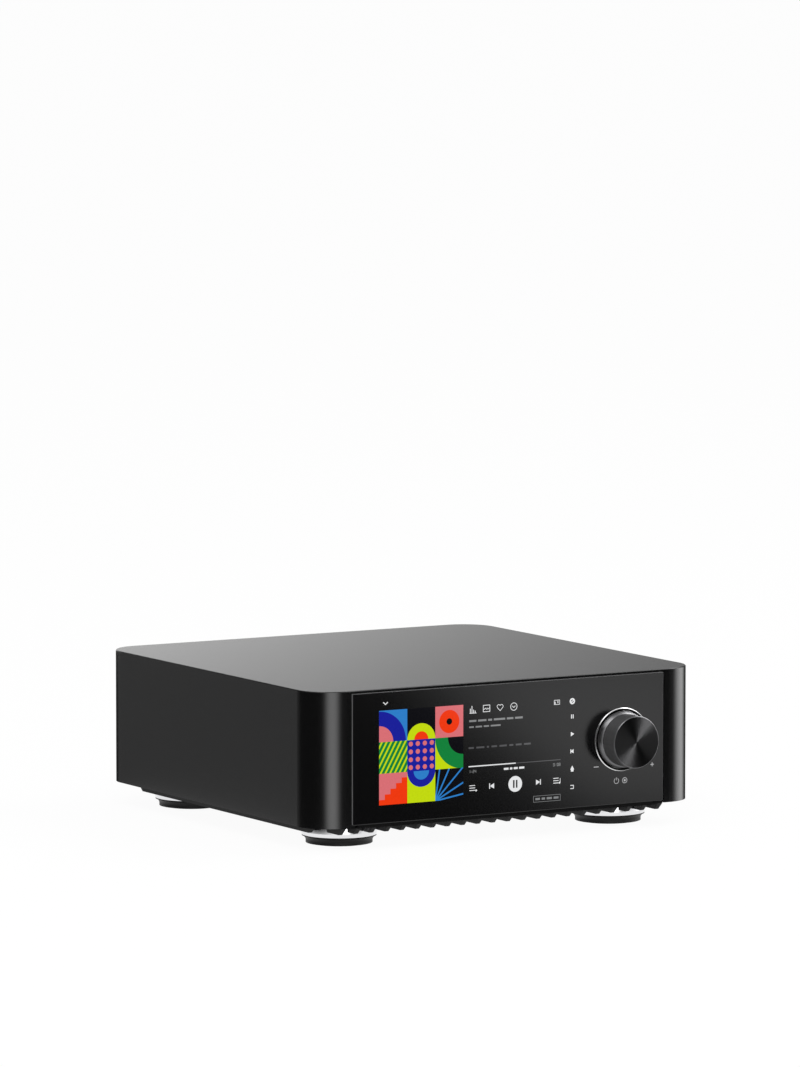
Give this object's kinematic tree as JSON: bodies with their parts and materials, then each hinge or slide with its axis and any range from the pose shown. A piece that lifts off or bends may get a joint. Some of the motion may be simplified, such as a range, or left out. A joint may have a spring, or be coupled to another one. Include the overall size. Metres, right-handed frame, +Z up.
{
  "type": "network music streamer",
  "caption": "Low box-shaped network music streamer with rounded corners, a glass front with a touch display, a turning push knob, a finned base and round feet.",
  "frame": {"origin": "on the floor, under the middle of the whole object's box, knob and rear sockets included", "axes": "+X to the right as the user sees the front, +Y to the back, +Z up; the front faces -Y"},
  "size_m": [0.25, 0.271, 0.0898],
  "materials": {
    "anodised_black": "fine blasted black anodised",
    "glass_black": "gloss black glass, printed behind",
    "knob_black": "turned and spun black anodised",
    "polished_metal": "polished bright metal",
    "foot_black": "satin black",
    "rubber_black": "matt rubber",
    "display": "display module",
    "plastic_black": "moulded black plastic",
    "plastic_clear": "milky light guide",
    "panel_black": "satin black painted metal",
    "screw_black": "blackened steel",
    "zinc": "zinc plated steel",
    "socket_metal": "plated sheet metal",
    "gold": "gold plated brass",
    "brass": "turned brass",
    "circuit_board": "solder mask on glass fibre board",
    "aluminium": "plain extruded aluminium",
    "winding": "taped winding",
    "sleeve": "shrink sleeve",
    "ribbon": "flat flexible cable",
    "wire": "insulated wire"
  },
  "bodies": {
    "chassis": {"case_shell": "anodised_black", "base_plate": "anodised_black", "front_glass": "glass_black", "display_panel": "display", "touch_board": "circuit_board", "key_light_guide": "plastic_clear", "front_bracket": "aluminium", "knob_ring": "polished_metal", "encoder_body": "zinc", "encoder_nut": "brass", "push_switch": "plastic_black", "back_panel": "panel_black", "mains_inlet": "plastic_black", "switch_frame": "plastic_black", "lan_jack": "socket_metal", "usb_jack": "socket_metal", "hdmi_jack": "socket_metal", "trigger_jack": "plastic_black", "optical_in": "plastic_black", "optical_out": "plastic_black", "coax_in": "gold", "coax_out": "gold", "rca_left": "gold", "rca_right": "gold", "xlr_left": "screw_black", "xlr_right": "screw_black", "mainboard": "circuit_board", "psu_board": "circuit_board", "analog_board": "circuit_board", "processor_heat_sink": "aluminium", "psu_transformer": "winding", "psu_capacitors": "sleeve", "dac_shield": "socket_metal", "board_standoffs": "brass", "board_screws": "zinc", "display_ribbon": "ribbon", "mains_leads": "wire", "base_screws": "screw_black", "foot_screws": "zinc", "bracket_screws": "zinc", "panel_screws": "screw_black", "foot_ring_front_left": "polished_metal", "foot_body_front_left": "foot_black", "foot_pad_front_left": "rubber_black", "foot_ring_front_right": "polished_metal", "foot_body_front_right": "foot_black", "foot_pad_front_right": "rubber_black", "foot_ring_back_left": "polished_metal", "foot_body_back_left": "foot_black", "foot_pad_back_left": "rubber_black", "foot_ring_back_right": "polished_metal", "foot_body_back_right": "foot_black", "foot_pad_back_right": "rubber_black"},
    "push_carriage": {"switch_plunger": "plastic_black"},
    "volume_knob": {"knob": "knob_black", "encoder_shaft": "brass"},
    "rocker": {"power_rocker": "plastic_black"},
    "flap_in": {"shutter_in": "plastic_black"},
    "flap_out": {"shutter_out": "plastic_black"}
  },
  "joints": [
    {"name": "knob_push", "type": "slide", "parent": "chassis", "child": "push_carriage", "axis": [0, 1, 0], "range_m": [0, 0.0008], "stiffness_N_per_m": 1500, "springref_m": -0.002},
    {"name": "knob_turn", "type": "hinge", "parent": "push_carriage", "child": "volume_knob", "pos_m": [0.0737, -0.1199, 0.0515], "axis": [0, 1, 0], "continuous": true},
    {"name": "power_switch", "type": "hinge", "parent": "chassis", "child": "rocker", "pos_m": [-0.07526, 0.1255, 0.06706], "axis": [1, 0, 0], "range_deg": [0, 16]},
    {"name": "optical_in_shutter", "type": "hinge", "parent": "chassis", "child": "flap_in", "pos_m": [0.01436, 0.1254, 0.0332], "axis": [-1, 0, 0], "range_deg": [0, 84], "stiffness_Nm_per_rad": 0.0002, "springref_deg": -17.19},
    {"name": "optical_out_shutter", "type": "hinge", "parent": "chassis", "child": "flap_out", "pos_m": [0.02873, 0.1254, 0.0332], "axis": [-1, 0, 0], "range_deg": [0, 84], "stiffness_Nm_per_rad": 0.0002, "springref_deg": -17.19}
  ]
}
